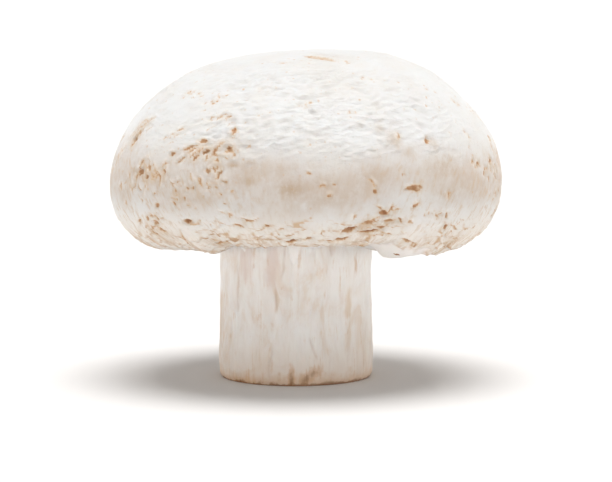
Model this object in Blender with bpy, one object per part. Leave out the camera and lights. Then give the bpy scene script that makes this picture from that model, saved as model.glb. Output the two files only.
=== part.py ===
"""A white button mushroom that stands on its cut stem: cap, veil and stem, in metres, +Z up.

The origin is the centre of the cut across the stem. The cap is nearly a body of revolution, but its
rim wavers, its crown leans a little towards +X, and its rolled lip is highest in front and hangs
lowest at the front right, where the veil under it is loose. -Y is the front.
"""

import math

import bmesh
import bpy

# The driving sizes.
CAP_DIAMETER = 0.0497
CAP_DEPTH_SHARE = 0.975  # depth front to back over width
CROWN_RISE = 0.0163  # from the widest level up to the crown
LIP_DROP = 0.0084  # from the widest level down to the lip's lowest ring
WIDEST_LEVEL = 0.0253  # height of the widest level above the cut
CAP_OFFSET = 0.00115  # the cap grew this far to +X of the stem's axis
STEM_DIAMETER = 0.0197
STEM_DEPTH_SHARE = 0.97
GAP = 0.0003  # clearance that keeps neighbouring solids apart

# How full the outlines are: 2 is an ellipse, more is squarer.
DOME_POWER_OUT = 2.6
DOME_POWER_UP = 1.8
LIP_POWER = 2.25

# How it grew out of true. A waver is (lobes round, share of the radius, phase in radians).
RIM_WAVERS = [(3, 0.006, 0.6), (5, 0.004, 2.0)]
STEM_WAVERS = [(2, 0.012, 0.4), (3, 0.010, -1.0)]
CROWN_SHIFT = 0.00045  # how far the crown sits to +X of the rim's centre
CROWN_SHIFT_POWER = 1.3  # how late on the way up the shift comes
CROWN_TIP = 0.0005  # how much higher the dome stands at +X than in the middle
FRONT_AZIMUTH = -1.75  # where the lip is highest, in radians from +X
FRONT_SPREAD = 0.75
FRONT_LIFT = 0.0017
LOOSE_AZIMUTH = -0.8  # the front right, where the margin hangs low and the veil is loose
LOOSE_MARGIN_SPREAD = 0.4
LOOSE_MARGIN_DROP = 0.0006
LOOSE_VEIL_SPREAD = 0.5

# The underside: radii, and the heights it has where the margin isn't lifted.
LIP_RADIUS = 0.0168  # ring on which the lip is lowest
FOLD_RADIUS = 0.0146  # inner edge of the rolled lip
FOLD_HEIGHT = 0.0184
FOLD_BEND = 0.35  # how far out towards the lip the fold starts to climb
SHELF_CLEARANCE = 0.0003  # more than the gap, so that the veil can belly
SHELF_DRAFT = 0.0002  # keeps the shelf's walls from standing straight up
SOCKET_TOP = 0.0226  # the stem's seat in the cap
SOCKET_ROUNDING = 0.0006  # drop of the seat's edge below its middle
SOCKET_FLAT_SHARE = 0.6  # share of the seat's radius that is flat

# The veil and the stem.
VEIL_THICKNESS = 0.0011
VEIL_OUTER_HEIGHT = 0.0180  # the veil's lower face, at the lip
VEIL_INNER_HEIGHT = 0.0171  # and where it meets the stem
VEIL_SAG = 0.0009  # how far the veil bellies down where it is loose
VEIL_TAUT_SHARE = 0.2  # the share of that sag it has everywhere else
STEM_FIT = 0.985  # the stem's mean radius over half its nominal diameter
STEM_SWELL = 0.012  # the stem swells and narrows by this share along its length
STEM_SWELL_TURN = 5.0  # radians of that wave from the cut to the top
CUT_DRAW = 0.022  # the cut end is drawn in by this share
CUT_DRAW_LENGTH = 0.15  # over this share of the stem's length

DOME_RINGS = 16
LIP_RINGS = 8
ROUND_SEGMENTS = 64
STEM_SEGMENTS = 48
STEM_RINGS = 12
VEIL_RINGS = 4
SHARP_EDGE = 50  # degrees between faces above which an edge is drawn sharp

FLESH = (0.86, 0.83, 0.79, 1.0)
VEIL_WHITE = (0.88, 0.86, 0.83, 1.0)
STEM_CREAM = (0.76, 0.70, 0.64, 1.0)


def clear_scene():
    for old in list(bpy.data.objects):
        bpy.data.objects.remove(old, do_unlink=True)


def hump(angle, centre, spread):
    """A smooth hump, 1 high at centre, that wraps round the circle; all in radians."""
    away = (angle - centre + math.pi) % (2 * math.pi) - math.pi
    return math.exp(-((away / spread) ** 2))


def waver(wavers, azimuth):
    """A radius over its mean, all the wavers together."""
    return 1 + sum(share * math.cos(lobes * azimuth + phase) for lobes, share, phase in wavers)


def margin_lift(azimuth):
    """How much higher the lip and the veil in it sit: up in front, down where the veil is loose."""
    lift = FRONT_LIFT * hump(azimuth, FRONT_AZIMUTH, FRONT_SPREAD)
    droop = LOOSE_MARGIN_DROP * hump(azimuth, LOOSE_AZIMUTH, LOOSE_MARGIN_SPREAD)
    return lift - droop


def dome_ring(share):
    """(radius over the rim's, height over the widest level) from the crown, 0, to the rim, 1."""
    angle = share * math.pi / 2
    out = math.sin(angle) ** (2 / DOME_POWER_OUT)
    up = max(math.cos(angle), 0.0) ** (2 / DOME_POWER_UP)
    return out, CROWN_RISE * up


def lip_ring(share):
    """(radius over the rim's, share of the lip's drop) from the rim, 0, to the lip's lowest ring, 1."""
    angle = share * math.pi / 2
    inner = 2 * LIP_RADIUS / CAP_DIAMETER
    out = inner + (1 - inner) * max(math.cos(angle), 0.0) ** (2 / LIP_POWER)
    return out, math.sin(angle) ** (2 / LIP_POWER)


def underside_rings(azimuth):
    """(radius, height) of the rings inside the lip, from the fold to the middle of the stem's seat."""
    lift = margin_lift(azimuth)
    shelf = VEIL_THICKNESS + GAP + SHELF_CLEARANCE + lift
    socket = STEM_DIAMETER / 2 + 2 * GAP
    lowest = WIDEST_LEVEL - LIP_DROP
    return [
        (FOLD_RADIUS + FOLD_BEND * (LIP_RADIUS - FOLD_RADIUS), (FOLD_HEIGHT + lowest) / 2 + lift),
        (FOLD_RADIUS, FOLD_HEIGHT + lift),
        (FOLD_RADIUS - SHELF_DRAFT / 2, VEIL_OUTER_HEIGHT + shelf),
        (socket + SHELF_DRAFT, VEIL_INNER_HEIGHT + shelf),
        (socket, SOCKET_TOP - SOCKET_ROUNDING),
        (SOCKET_FLAT_SHARE * socket, SOCKET_TOP),
        (0.0, SOCKET_TOP),
    ]


def lean(x, y, height):
    """Shifts the upper dome a little to +X and raises it on that side."""
    up = min(max(height / CROWN_RISE, 0.0), 1.0)
    shifted = x + CROWN_SHIFT * up**CROWN_SHIFT_POWER + CAP_OFFSET
    tipped = height + CROWN_TIP * up * x / (CAP_DIAMETER / 2) + WIDEST_LEVEL
    return shifted, y, tipped


def cap_point(ring, azimuth):
    """Where the cap's surface is on this ring, counted from the crown."""
    if ring > DOME_RINGS + LIP_RINGS:
        radius, level = underside_rings(azimuth)[ring - DOME_RINGS - LIP_RINGS - 1]
        return radius * math.cos(azimuth), radius * math.sin(azimuth), level
    if ring <= DOME_RINGS:
        out, height = dome_ring(ring / DOME_RINGS)
    else:
        out, fall = lip_ring((ring - DOME_RINGS) / LIP_RINGS)
        height = -fall * (LIP_DROP - margin_lift(azimuth))
    radius = out * CAP_DIAMETER / 2 * waver(RIM_WAVERS, azimuth)
    return lean(radius * math.cos(azimuth), radius * math.sin(azimuth) * CAP_DEPTH_SHARE, height)


def new_object(name, shape, collection, colour, roughness):
    """Makes an object from a bmesh, shaded smooth, with its own material."""
    mesh = bpy.data.meshes.new(name)
    bmesh.ops.recalc_face_normals(shape, faces=shape.faces)
    shape.to_mesh(mesh)
    shape.free()
    mesh.shade_smooth()
    mesh.set_sharp_from_angle(angle=math.radians(SHARP_EDGE))
    material = bpy.data.materials.new(name)
    material.use_nodes = True
    surface = material.node_tree.nodes["Principled BSDF"]
    surface.inputs["Base Color"].default_value = colour
    surface.inputs["Roughness"].default_value = roughness
    surface.inputs["Metallic"].default_value = 0.0
    mesh.materials.append(material)
    made = bpy.data.objects.new(name, mesh)
    collection.objects.link(made)
    return made


def make_cap(collection):
    """The dome and its rolled lip, from a sphere whose rings are moved onto the cap's outline."""
    rings = DOME_RINGS + LIP_RINGS + len(underside_rings(0.0))
    shape = bmesh.new()
    bmesh.ops.create_uvsphere(shape, u_segments=ROUND_SEGMENTS, v_segments=rings, radius=1.0)
    for vertex in shape.verts:
        polar = math.acos(min(max(vertex.co.z, -1.0), 1.0))
        azimuth = math.atan2(vertex.co.y, vertex.co.x)
        vertex.co = cap_point(round(polar / math.pi * rings), azimuth)
    return new_object("cap", shape, collection, FLESH, 0.6)


def veil_height(share, azimuth):
    """The veil's lower face, from the stem, 0, to the lip, 1: it bellies, most where it is loose."""
    level = VEIL_INNER_HEIGHT + (VEIL_OUTER_HEIGHT - VEIL_INNER_HEIGHT) * share
    slack = hump(azimuth, LOOSE_AZIMUTH, LOOSE_VEIL_SPREAD)
    loose = VEIL_TAUT_SHARE + (1 - VEIL_TAUT_SHARE) * slack
    return level + margin_lift(azimuth) - VEIL_SAG * loose * math.sin(math.pi * share)


def make_veil(collection):
    """The membrane from the lip to the stem: a ring of sheet given its thickness upwards."""
    inner = STEM_DIAMETER / 2 + 2 * GAP
    outer = FOLD_RADIUS - GAP
    shape = bmesh.new()
    bmesh.ops.create_circle(shape, segments=ROUND_SEGMENTS, radius=inner)
    edges = list(shape.edges)
    for ring in range(VEIL_RINGS + 1):
        share = ring / VEIL_RINGS
        radius = inner + (outer - inner) * share
        if ring:
            edges = bmesh.ops.extrude_edge_only(shape, edges=edges)["geom"]
            edges = [part for part in edges if isinstance(part, bmesh.types.BMEdge)]
        for vertex in {end for edge in edges for end in edge.verts}:
            azimuth = math.atan2(vertex.co.y, vertex.co.x)
            height = veil_height(share, azimuth)
            vertex.co = (radius * math.cos(azimuth), radius * math.sin(azimuth), height)
    for face in shape.faces:
        face.normal_update()
        if face.normal.z > 0:
            face.normal_flip()
    bmesh.ops.solidify(shape, geom=shape.faces[:], thickness=VEIL_THICKNESS)
    return new_object("veil", shape, collection, VEIL_WHITE, 0.7)


def stem_radius(share, azimuth):
    """The stem's radius from the cut, 0, to its top, 1: it wavers, and the cut end is drawn in."""
    swell = STEM_SWELL * math.cos(STEM_SWELL_TURN * share)
    drawn = CUT_DRAW * max(0.0, 1 - share / CUT_DRAW_LENGTH) ** 2
    return STEM_FIT * STEM_DIAMETER / 2 * waver(STEM_WAVERS, azimuth) * (1 + swell - drawn)


def make_stem(collection):
    """The stem, from a cylinder cut into rings; its lower end is the flat knife cut at z = 0."""
    top = SOCKET_TOP - SOCKET_ROUNDING - GAP
    shape = bmesh.new()
    bmesh.ops.create_cone(
        shape, cap_ends=True, cap_tris=False, segments=STEM_SEGMENTS, radius1=1.0, radius2=1.0, depth=1.0
    )
    upright = [edge for edge in shape.edges if abs(edge.verts[0].co.z - edge.verts[1].co.z) > 0.5]
    bmesh.ops.subdivide_edges(shape, edges=upright, cuts=STEM_RINGS - 1, use_grid_fill=True)
    for vertex in shape.verts:
        share = vertex.co.z + 0.5
        azimuth = math.atan2(vertex.co.y, vertex.co.x)
        radius = stem_radius(share, azimuth)
        vertex.co = (
            radius * math.cos(azimuth),
            radius * math.sin(azimuth) * STEM_DEPTH_SHARE,
            share * top,
        )
    return new_object("stem", shape, collection, STEM_CREAM, 0.65)


def main():
    clear_scene()
    mushroom = bpy.data.collections.new("button_mushroom")
    bpy.context.scene.collection.children.link(mushroom)
    make_cap(mushroom)
    make_veil(mushroom)
    make_stem(mushroom)


main()
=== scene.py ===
import itertools
import random
from math import cos, pi, radians, sin

import bmesh
import bpy
import numpy as np
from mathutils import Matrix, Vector, kdtree


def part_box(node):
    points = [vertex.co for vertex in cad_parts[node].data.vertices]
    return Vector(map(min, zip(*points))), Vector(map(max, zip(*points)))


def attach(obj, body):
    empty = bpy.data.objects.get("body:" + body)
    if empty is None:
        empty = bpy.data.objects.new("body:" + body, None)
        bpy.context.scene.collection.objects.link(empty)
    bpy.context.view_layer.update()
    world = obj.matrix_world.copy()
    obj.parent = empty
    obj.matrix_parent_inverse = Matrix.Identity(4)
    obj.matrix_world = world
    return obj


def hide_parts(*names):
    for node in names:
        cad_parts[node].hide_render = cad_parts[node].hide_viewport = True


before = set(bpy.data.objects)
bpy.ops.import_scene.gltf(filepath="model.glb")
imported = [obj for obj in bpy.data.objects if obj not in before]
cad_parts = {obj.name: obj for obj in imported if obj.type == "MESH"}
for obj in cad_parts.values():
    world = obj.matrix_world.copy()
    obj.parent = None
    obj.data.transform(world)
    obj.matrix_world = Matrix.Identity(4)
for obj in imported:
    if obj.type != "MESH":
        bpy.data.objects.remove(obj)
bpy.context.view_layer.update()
mm = 0.001
scene = bpy.context.scene
print("frame loaded, nodes:", ", ".join(sorted(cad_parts)))


# camera: a long lens, a little above the level of the cap's lip
camera = {
    "lens": 183.4,
    "place": (1.34 * mm, -395 * mm, 62.6 * mm),
    "lookAt": (1.34 * mm, 0, 17.3 * mm),
}


def addObject(name, data):
    made = bpy.data.objects.new(name, data)
    scene.collection.objects.link(made)
    return made


def setCamera():
    lens = bpy.data.cameras.new("longLens")
    lens.lens = camera["lens"]
    lens.clip_start = 10 * mm
    body = addObject("longLens", lens)
    body.location = camera["place"]
    towards = Vector(camera["lookAt"]) - body.location
    body.rotation_euler = towards.to_track_quat("-Z", "Y").to_euler()
    scene.camera = body
    print("camera set")


setCamera()


# sums on sockets: 1 - mask, 0.3 * grain + 0.5
class Wire:
    def __init__(self, recipe, socket):
        self.recipe = recipe
        self.socket = socket

    def maths(self, operation, first, second):
        return self.recipe.node("Math", {"operation": operation}, {0: first, 1: second})

    def __add__(self, other):
        return self.maths("ADD", self, other)

    def __sub__(self, other):
        return self.maths("SUBTRACT", self, other)

    def __rsub__(self, other):
        return self.maths("SUBTRACT", other, self)

    def __mul__(self, other):
        return self.maths("MULTIPLY", self, other)

    __radd__ = __add__
    __rmul__ = __mul__


# one material, or the room round everything, and the nodes in it
class Recipe:
    def __init__(self, owner, colours=None):
        owner.use_nodes = True
        self.owner = owner
        self.tree = owner.node_tree
        self.tree.nodes.clear()
        self.place = self.node("TexCoord", out=3)  # object coordinates, in metres
        self.colours = colours
        self.shade = None

    def node(self, kind, settings=None, sockets=None, out=0):
        made = self.tree.nodes.new("ShaderNode" + kind)
        for name, value in (settings or {}).items():
            setattr(made, name, value)
        for name, value in (sockets or {}).items():
            if isinstance(value, Wire):
                self.tree.links.new(value.socket, made.inputs[name])
            else:
                made.inputs[name].default_value = value
        return Wire(self, made.outputs[out]) if made.outputs else made

    def axis(self, vector, number):
        return self.node("SeparateXYZ", None, {0: vector}, out=number)

    def point(self, x, y, z):
        return self.node("CombineXYZ", None, {0: x, 1: y, 2: z})

    def mark(self, name):
        return self.node("Attribute", {"attribute_name": name}, out=2)

    def fade(self, value, low, high):
        return self.node("MapRange", {"interpolation_type": "SMOOTHSTEP"}, {0: value, 1: low, 2: high})

    # 0 below a span of heights in millimetres, 1 above it
    def above(self, place, span):
        return self.fade(place, span[0] * mm, span[1] * mm)

    def blend(self, mask, under, over):
        sockets = {0: mask, 6: colour(under), 7: colour(over)}
        return self.node("Mix", {"data_type": "RGBA"}, sockets, out=2)

    # lays one of the colours over the shade so far, where the mask is bright
    def lay(self, mask, name):
        self.shade = self.blend(mask, self.shade, self.colours[name])

    def stretch(self, amounts, place=None):
        sockets = {0: place or self.place, 1: amounts}
        return self.node("VectorMath", {"operation": "MULTIPLY"}, sockets)

    # even noise from 0 to 1, with lumps about size millimetres across
    def grain(self, size, place=None, detail=3.0, rough=0.6, twist=0.0):
        sockets = {
            "Vector": place or self.place,
            "Scale": 1 / (size * mm),
            "Detail": detail,
            "Roughness": rough,
            "Distortion": twist,
        }
        return self.node("TexNoise", None, sockets)

    # round specks, about apart millimetres from each other; the hidden share of them is left out
    def specks(self, apart, hidden, core=0.07, rim=0.24, soft=0.08):
        sockets = {"Vector": self.place, "Scale": 1 / (apart * mm)}
        spot = 1 - self.fade(self.node("TexVoronoi", None, sockets), core, rim)
        chance = self.axis(self.node("TexVoronoi", None, sockets, out=1), 0)
        return spot * self.fade(chance, hidden, hidden + soft)

    def bump(self, height, depth, under=None):
        sockets = {"Height": height, "Distance": depth * mm}
        if under:
            sockets["Normal"] = under
        return self.node("Bump", None, sockets)

    # light goes a little way into mushroom flesh, red light the furthest
    def finish(self, roughness, normal, glow, depth, sheen=0.0):
        sockets = {
            "Base Color": self.shade,
            "Roughness": roughness,
            "Normal": normal,
            "Specular IOR Level": 0.35,
            "Subsurface Weight": glow,
            "Subsurface Radius": (1.0, 0.62, 0.42),
            "Subsurface Scale": depth * mm,
            "Sheen Weight": sheen,
        }
        self.node("OutputMaterial", None, {"Surface": self.node("BsdfPrincipled", None, sockets)})
        return self.owner


def colour(value):
    return (*value, 1.0) if isinstance(value, tuple) else value


# studio: a white room, brightest low down, with broad soft light from overhead and a white floor
studio = {
    "strength": 5.0,
    "sky": [  # sine of height, colour
        (0.0, (0.75, 0.74, 0.72)),
        (0.1, (0.75, 0.74, 0.72)),
        (0.2, (0.09, 0.09, 0.09)),
        (0.5, (0.05, 0.05, 0.05)),
        (1.0, (0.07, 0.07, 0.07)),
    ],
    "overhead": 3.36,
    "softness": 41,  # degrees across
    "tilt": (-2, 3),  # it comes a little from behind and from the right
    "floor": (0.746, 0.733, 0.722),
    "floorHalf": 6.0,
}


def setStudio():
    scene.view_settings.view_transform = "Standard"
    room = Recipe(bpy.data.worlds.new("whiteRoom"))
    height = room.axis(room.node("TexCoord"), 2)
    sky = room.node("ValToRGB", None, {0: height})
    ramp = sky.socket.node.color_ramp
    ramp.interpolation = "EASE"
    while len(ramp.elements) < len(studio["sky"]):
        ramp.elements.new(0.5)
    for stop, (position, level) in zip(ramp.elements, studio["sky"]):
        stop.position = position
        stop.color = colour(level)
    light = room.node("Background", None, {"Color": sky, "Strength": studio["strength"]})
    room.node("OutputWorld", None, {"Surface": light})
    scene.world = room.owner

    lamp = bpy.data.lights.new("overhead", "SUN")
    lamp.energy = studio["overhead"]
    lamp.angle = radians(studio["softness"])
    back, side = studio["tilt"]
    addObject("overhead", lamp).rotation_euler = (radians(back), radians(side), 0)

    mesh = bpy.data.meshes.new("floor")
    shape = bmesh.new()
    bmesh.ops.create_grid(shape, x_segments=1, y_segments=1, size=studio["floorHalf"])
    shape.to_mesh(mesh)
    shape.free()
    paper = Recipe(bpy.data.materials.new("whiteFloor"))
    plain = {"Base Color": colour(studio["floor"]), "Roughness": 0.9, "Specular IOR Level": 0.1}
    paper.node("OutputMaterial", None, {"Surface": paper.node("BsdfPrincipled", None, plain)})
    mesh.materials.append(paper.owner)
    floor = addObject("floor", mesh)
    print("studio set")


setStudio()


# helpers for shaping; lengths in millimetres, angles in radians
def boxOf(node):
    low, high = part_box(node)
    return np.array(low) / mm, np.array(high) / mm


def hump(angle, centre, spread):
    away = (angle - centre + pi) % (2 * pi) - pi
    return np.exp(-((away / spread) ** 2))


def humps(angle, rows):
    return sum(amount * hump(angle, where, spread) for amount, where, spread in rows)


def circle(angle):
    return np.stack([np.cos(angle), np.sin(angle)], axis=-1)


def bell(value, centre, spread):
    return np.exp(-(((value - centre) / spread) ** 2))


def wavers(angle, rows):
    return 1 + sum(share * np.cos(lobes * angle + phase) for lobes, share, phase in rows)


def ease(value, low, high):
    share = np.clip((value - low) / (high - low), 0, 1)
    return share * share * (3 - 2 * share)


# soft patches, the strongest one wherever they overlap
def patches(azimuth, height, rows, sharpness=2):
    mask = np.zeros(len(height))
    for (degrees, level), (wide, tall), strength in rows:
        upright = np.exp(-(((height - level) / tall) ** sharpness))
        mask = np.maximum(mask, strength * hump(azimuth, radians(degrees), radians(wide)) * upright)
    return mask


# smooth noise, mostly -1 to 1, at an array of points
noise = {"seed": 3, "shift": (31.7, 17.3, 11.9), "octaveShare": 0.6, "gain": 1.9}
noiseDice = np.random.default_rng(noise["seed"])
noiseOrder = noiseDice.permutation(256)
noiseSlopes = noiseDice.normal(size=(256, 3))
noiseSlopes /= np.linalg.norm(noiseSlopes, axis=1)[:, None]


def cloud(points, seed, octaves=2):
    total = np.zeros(len(points))
    for octave in range(octaves):
        moved = points * 2.0**octave + np.array(noise["shift"]) * (seed + 7 * octave)
        cell = np.floor(moved).astype(int)
        inside = moved - cell
        smooth = inside**3 * (inside * (inside * 6 - 15) + 10)
        for corner in itertools.product((0, 1), repeat=3):
            x, y, z = (cell + corner).T & 255
            slopes = noiseSlopes[noiseOrder[(noiseOrder[(noiseOrder[x] + y) & 255] + z) & 255]]
            weight = np.prod(np.where(corner, smooth, 1 - smooth), axis=1)
            total += noise["octaveShare"]**octave * weight * np.sum(slopes * (inside - corner), axis=1)
    return total * noise["gain"]


def readTriples(items, name):
    values = np.empty(len(items) * 3, np.float32)
    items.foreach_get(name, values)
    return values.reshape(-1, 3).astype(float)


def writePoints(mesh, points):
    mesh.vertices.foreach_set("co", points.astype(np.float32).ravel())
    mesh.update()


# the mesh of a body once its modifiers are applied; the body itself goes
def applied(body):
    mesh = bpy.data.meshes.new_from_object(body.evaluated_get(bpy.context.evaluated_depsgraph_get()))
    bpy.data.objects.remove(body, do_unlink=True)
    return mesh


# numbers kept at the mesh's points for the materials to read
def keepMarks(mesh, marks):
    for name, values in marks.items():
        layer = mesh.attributes.new(name, "FLOAT", "POINT")
        layer.data.foreach_set("value", np.ascontiguousarray(values, np.float32))


def addPiece(name, mesh, material, node):
    mesh.materials.clear()
    mesh.materials.append(material)
    mesh.shade_smooth()
    piece = addObject(name, mesh)
    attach(piece, "root")
    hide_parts(node)
    print(name, "made:", len(mesh.polygons), "faces")


# cap: domed crown and rolled lip
cap = {
    "halvings": 7,  # of each side of the cube it is blown up from
    "outlineSteps": (900, 400),  # down the dome, and round each half of the lip
    "domeOut": 2.6,
    "domeUp": 1.8,
    "lipPower": 2.25,
    "widest": 0.3488,  # share of the cap's height, up from the lip, where it is widest
    "lipDrop": 8.4,
    "lipRadius": 16.8,
    "foldRadius": 14.0,
    "foldClimb": 2.6,
    "rimWavers": [(3, 0.006, 0.6), (5, 0.004, 2.0)],
    "crownShift": 0.45,
    "crownTip": 0.5,
    "frontLift": (1.6, -1.59, 0.57),  # how much, where round, how far to each side
    "liftEdge": 0.09,
    "lipWaves": [(-0.22, -0.7, 0.35), (0.5, -2.35, 0.22)],
    "lumps": 0.1,
    "shoulders": [(0.35, -0.4, 9, 4), (-0.4, -0.3, 22, 5)],  # how much, where round, how far down, how wide
    "scaleSize": (2.0, 1.0),  # of the scales on the crown, round and down
    "scaleRows": (-8, 42),
    "scaleDepth": 0.26,
    "scaleStarts": [(0.25, 2, 8), (0.75, 8, 19)],  # share, and from where to where down from the crown
    "scaleEnds": (26.0, 29.5),
    "scaleSlant": 0.27,  # how much their rows rise to the right across the front
    "wrinkleSize": (2.6, 1.15),
    "wrinkleDepth": 0.14,
    "marginSize": (2.6, 1.2),
    "marginRows": (-17, 5),  # from above the lip's lowest ring to inside it
    "marginStarts": (-11.0, -8.0),
    "marginDepth": 0.56,
    "creaseStarts": (-8.5, -4.0),
    "creaseDepth": 0.3,  # of the fibres drawn in under the margin
    "fibreLean": 0.7,
    "fibreMiddle": 38,  # how far down they run straight
    "skinEdge": 0.25,  # how high above the lip's lowest ring the skin ends
    "skinSoft": 0.3,
    "skinThick": 0.14,
    "skinTuck": (1.2, -2.16, 0.17),  # where the skin runs further in under the lip
    "bareLobe": (1.0, -0.91, 0.17),  # where the skin is torn back to the flesh
    "lobeSwell": 0.22,
    "palePatch": (0.7, -0.99, 0.17),  # where the brown belt and its painted shade are missing
}

# where the skin has torn into small brown notches. First the ones that stand alone, kind by kind:
# their (length, width), slant up to the right, bow, how brown, then each one's (degrees round, height)
tearKinds = [
    ((0.7, 0.4), 30, 0, 1.5,
     [(-133, 30), (-142, 27.1), (-101, 21.8), (-70, 26), (-137, 23.6), (-44, 20.8), (-45, 22.4)]),
    ((0.5, 0.28), 40, 0, 1.1,
     [(-144, 23.9), (-130, 24), (-125, 26), (-114, 25.3), (-82, 26.8), (-61, 27.7), (-25, 22.7)]),
    ((1.4, 0.5), 2, 0.05, 1.8, [(-126, 21.9), (-94, 19.7), (-89, 20.1), (-67, 23.2)]),
    ((1.4, 0.36), -3, 0.15, 1.2, [(-59, 26.1), (-57, 25.9), (-123, 31.8)]),
    ((1.4, 0.32), 5, 0.05, 1.3,
     [(-110, 21.7), (-67, 21.4), (-64, 20.5), (-65, 22.2), (-83, 19.7), (-74, 19.6), (-57, 19.5)]),
    ((0.9, 0.26), 5, 0.05, 0.95,
     [(-113, 27.1), (-118, 26.3), (-97, 21.4), (-58, 21.8), (-89, 28.2), (-85, 26.7), (-83, 25.5)]),
    ((1.2, 0.27), 40, 0.05, 1.35,
     [(-129, 29.4), (-121, 30.5), (-148, 21.1), (-57, 23.9), (-65, 23.6), (-30, 28.1)]),
    ((1, 0.2), 25, 0.1, 0.95,
     [(-134, 33), (-117, 34.6), (-135, 28.8), (-104, 21), (-63, 23.5), (-29, 20.2)]),
    ((1, 0.29), -45, 0, 1.45, [(-119, 28.3), (-61, 22.1), (-143, 19.9), (-139, 21.4), (-113, 31)]),
    ((1.3, 0.16), -50, 0, 0.9, [(-69, 23.9), (-71, 27), (-124, 27.4), (-121, 27), (-131, 26.4)]),
    ((1, 0.27), 80, 0, 1.4,
     [(-124, 29.8), (-118, 30.6), (-115, 27.9), (-113, 33), (-143, 21.6), (-50, 31.5), (-141, 28)]),
    ((1.2, 0.22), 85, 0, 0.95,
     [(-157, 25.4), (-122, 22), (-85, 20.9), (-45, 24.9), (-60, 32.3), (-76, 22.8), (-168, 27)]),
    ((2.1, 0.25), 32, 0.25, 1.2, [(-127, 31)]),
    ((2, 0.24), -12, -0.3, 1.1, [(-106, 22.4)]),
    ((2.3, 0.72), 32, 0, 1.9, [(-77, 21.1)]),
    ((2.2, 0.56), 18, -0.1, 1.8, [(-79, 19.9)]),
    ((2.3, 0.62), 5, -0.35, 1.9, [(-71, 20.7)]),
    ((1.4, 0.27), 60, 0.3, 1, [(-146, 28.5), (-147, 26.8)]),
    ((1.8, 0.22), -75, 0.3, 1.1, [(-134, 27.5), (-136, 27)]),
    ((1.2, 0.26), -35, -0.25, 1.3, [(-145, 25.4)]),
    ((0.8, 0.3), 0, 0, 4.2, [(-55, 17.3)]),
    ((6, 0.8), -50, 0.1, 0.55, [(-80, 41)]),
    ((0.9, 0.6), 75, 0, 1.5, [(-145, 27.5)]),
]

# then crowds of them: (degrees round, height), their spread, how many, and the same four values
tearCrowds = [
    ((-156, 31.4), (1, 0.2), 2, (1.2, 0.32), 60, 0.1, 1.5),
    ((-155, 32.2), (5, 1.2), 8, (2.4, 0.14), 60, 0.1, 1.1),
    ((-153, 33.8), (4, 0.6), 5, (1.5, 0.13), 50, 0.2, 0.9),
    ((-162, 29.5), (4, 1), 6, (2.2, 0.13), 65, 0, 0.9),
    ((-134, 32), (5, 0.9), 4, (1.4, 0.14), 25, 0.1, 0.6),
    ((-120, 34.4), (7, 0.8), 7, (1.3, 0.15), 35, 0.25, 0.75),
    ((-113, 31.2), (5, 0.8), 6, (0.7, 0.24), -20, 0.05, 0.9),
    ((-140, 27.4), (4, 1.4), 12, (1.6, 0.13), -80, 0.3, 0.85),
    ((-151, 26), (8, 1.9), 14, (0.9, 0.19), 80, 0, 0.9),
    ((-126, 25.4), (10, 1.9), 18, (0.5, 0.24), 0, 0, 1.1),
    ((-113, 26), (6, 1.6), 7, (0.4, 0.25), 80, 0, 0.8),
    ((-138, 22.4), (4, 0.7), 8, (0.6, 0.22), -20, 0.05, 1.1),
    ((-112, 22.8), (4, 0.4), 4, (0.8, 0.2), -25, 0.05, 0.85),
    ((-119, 19.3), (3, 0.2), 4, (1.8, 0.28), -8, 0.05, 1.2),
    ((-103, 20.2), (9, 0.5), 11, (1.2, 0.19), 0, 0.1, 0.9),
    ((-71, 21.9), (3, 0.5), 9, (1.6, 0.17), 42, 0, 1.1),
    ((-57, 26.2), (3, 0.2), 4, (0.5, 0.28), 55, 0, 1.2),
    ((-49, 22.7), (3, 0.5), 8, (0.5, 0.21), 25, 0.05, 1.1),
    ((-53, 18.9), (2, 0.3), 5, (1.2, 0.16), -50, 0, 1),
    ((-40, 18.9), (7, 0.6), 9, (1.3, 0.16), 0, 0.05, 0.9),
    ((-20, 27.2), (8, 1.9), 20, (0.9, 0.26), 87, 0, 1.4),
    ((-142, 37.2), (5, 0.5), 8, (0.7, 0.19), 3, 0.1, 0.9),
    ((-125, 36.6), (5, 0.8), 8, (0.5, 0.23), 0, 0.05, 0.9),
    ((-112, 40.6), (8, 0.4), 6, (0.7, 0.17), 0, 0.05, 0.75),
    ((-90, 35.6), (22, 2.2), 20, (0.5, 0.17), 5, 0.1, 0.7),
    ((-64, 39.3), (3, 0.9), 6, (0.5, 0.24), 15, 0, 0.85),
    ((-36, 35.6), (13, 1.8), 13, (0.5, 0.2), 45, 0, 0.7),
    ((-32, 31.8), (9, 1.4), 7, (0.6, 0.18), 70, 0, 0.75),
    ((-121, 30.4), (7, 1), 9, (1.8, 0.16), 42, 0.15, 1),
    ((-115, 29), (5, 1.1), 7, (0.9, 0.24), 70, 0, 1.2),
    ((-138, 21.2), (5, 0.9), 8, (0.7, 0.25), -30, 0.05, 1.2),
]

# how loosely the rows above are followed, alone and in crowds
freedom = {"alone": 0.1, "crowd": 0.4, "strewn": 0.3, "seed": 5}

# the same sorts of tear, strewn over the sides and back
strewn = {
    "crowds": 52,
    "alone": 90,
    "kinds": 11,  # only the first, commoner ones stand alone there
    "from": -14,
    "to": 190,
    "crowdRise": 0.5,
    "aloneRise": 0.6,
    "spread": (1.5, 1.0, 0.3),  # round, times and plus; up, plus
    "seed": 12,
}

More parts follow.
